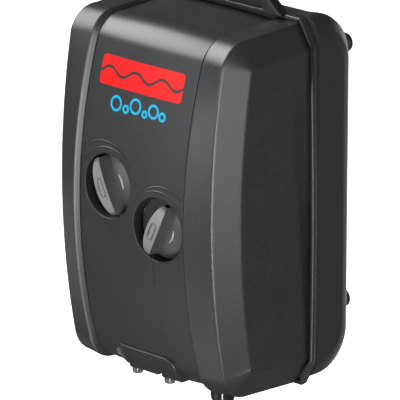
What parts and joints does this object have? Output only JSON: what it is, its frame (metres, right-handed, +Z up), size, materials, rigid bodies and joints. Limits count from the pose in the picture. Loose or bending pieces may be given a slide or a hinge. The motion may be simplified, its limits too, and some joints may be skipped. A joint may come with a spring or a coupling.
{
  "type": "air pump",
  "caption": "Wall-hung two-outlet membrane air pump with a pillow-shaped dark housing, two flow knobs, twin outlet nozzles, a hanging loop and a mains cord.",
  "frame": {"origin": "middle of the underside of the hanging loop's top bar, where a wall hook carries the pump, in the plane of the seam between the two covers", "axes": "+Z up, the front with its two knobs faces -Y, the wall is towards +Y, +X is to the right seen from the front"},
  "size_m": [0.1018, 0.0882, 0.345],
  "materials": {
    "housing": "fine satin moulded plastic, dark grey",
    "loop": "satin moulded plastic, black",
    "knob": "satin moulded plastic, grey",
    "nozzle": "glossy black",
    "rubber": "black rubber",
    "cord": "black sheath",
    "membrane": "soft black rubber",
    "hose": "translucent silicone",
    "valve": "natural moulded acetal",
    "carrier": "grey moulded plastic",
    "core": "stacked steel sheets",
    "copper": "enamelled copper wire",
    "bobbin": "natural nylon",
    "steel": "zinc-plated steel",
    "magnet": "dark ferrite",
    "felt": "white felt",
    "terminal": "white nylon",
    "plug": "black moulded plug",
    "pin_metal": "nickel-plated brass"
  },
  "bodies": {
    "housing": {"air_nozzle_left": "nozzle", "air_nozzle_right": "nozzle", "carrier_plate": "carrier", "clamp_ring_left": "valve", "clamp_ring_right": "valve", "coil_bobbin": "bobbin", "coil_winding": "copper", "coil_wire_one": "copper", "coil_wire_two": "copper", "cord_coil": "cord", "cord_tail": "cord", "cord_tie": "cord", "core_bolts": "steel", "core_bracket": "carrier", "cover_screws": "steel", "front_cover": "housing", "grommets": "rubber", "hanging_loop": "loop", "housing_seal": "rubber", "inlet_hose_left": "hose", "inlet_hose_right": "hose", "inner_cable": "cord", "intake_filter": "felt", "intake_lid": "housing", "lever_pins": "steel", "magnet_core": "core", "mains_wire_one": "cord", "mains_wire_two": "cord", "membrane_left": "membrane", "membrane_right": "membrane", "outlet_hose_left": "hose", "outlet_hose_right": "hose", "plug_body": "plug", "plug_pins": "pin_metal", "power_cord": "cord", "pump_chamber_left": "valve", "pump_chamber_right": "valve", "rear_cover": "housing", "spindle_seal_left": "rubber", "spindle_seal_right": "rubber", "strain_relief": "rubber", "terminal_block": "terminal", "valve_block": "valve", "valve_cap_left": "valve", "valve_cap_right": "valve", "valve_flaps_left": "membrane", "valve_flaps_right": "membrane", "wall_feet": "rubber"},
    "left_knob": {"knob_left": "knob", "valve_spindle_left": "steel"},
    "right_knob": {"knob_right": "knob", "valve_spindle_right": "steel"},
    "left_lever": {"lever_left": "carrier", "magnet_left": "magnet", "push_rod_left": "steel"},
    "right_lever": {"lever_right": "carrier", "magnet_right": "magnet", "push_rod_right": "steel"}
  },
  "joints": [
    {"name": "left_knob_turn", "type": "hinge", "parent": "housing", "child": "left_knob", "pos_m": [-0.0133, -0.05, -0.0801], "axis": [0, 1, 0], "range_deg": [-75, 125]},
    {"name": "right_knob_turn", "type": "hinge", "parent": "housing", "child": "right_knob", "pos_m": [0.0153, -0.05, -0.0924], "axis": [0, 1, 0], "range_deg": [-125, 75]},
    {"name": "left_lever_swing", "type": "hinge", "parent": "housing", "child": "left_lever", "pos_m": [-0.0215, -0.008, -0.13], "axis": [0, 1, 0], "range_deg": [-1.2, 1.2], "stiffness_Nm_per_rad": 2, "deforming": ["membrane_left"]},
    {"name": "right_lever_swing", "type": "hinge", "parent": "housing", "child": "right_lever", "pos_m": [0.0215, -0.008, -0.13], "axis": [0, 1, 0], "range_deg": [-1.2, 1.2], "stiffness_Nm_per_rad": 2, "deforming": ["membrane_right"]}
  ],
  "couplings": [
    {"joint": "right_lever_swing", "follows": "left_lever_swing", "ratio": -1}
  ]
}
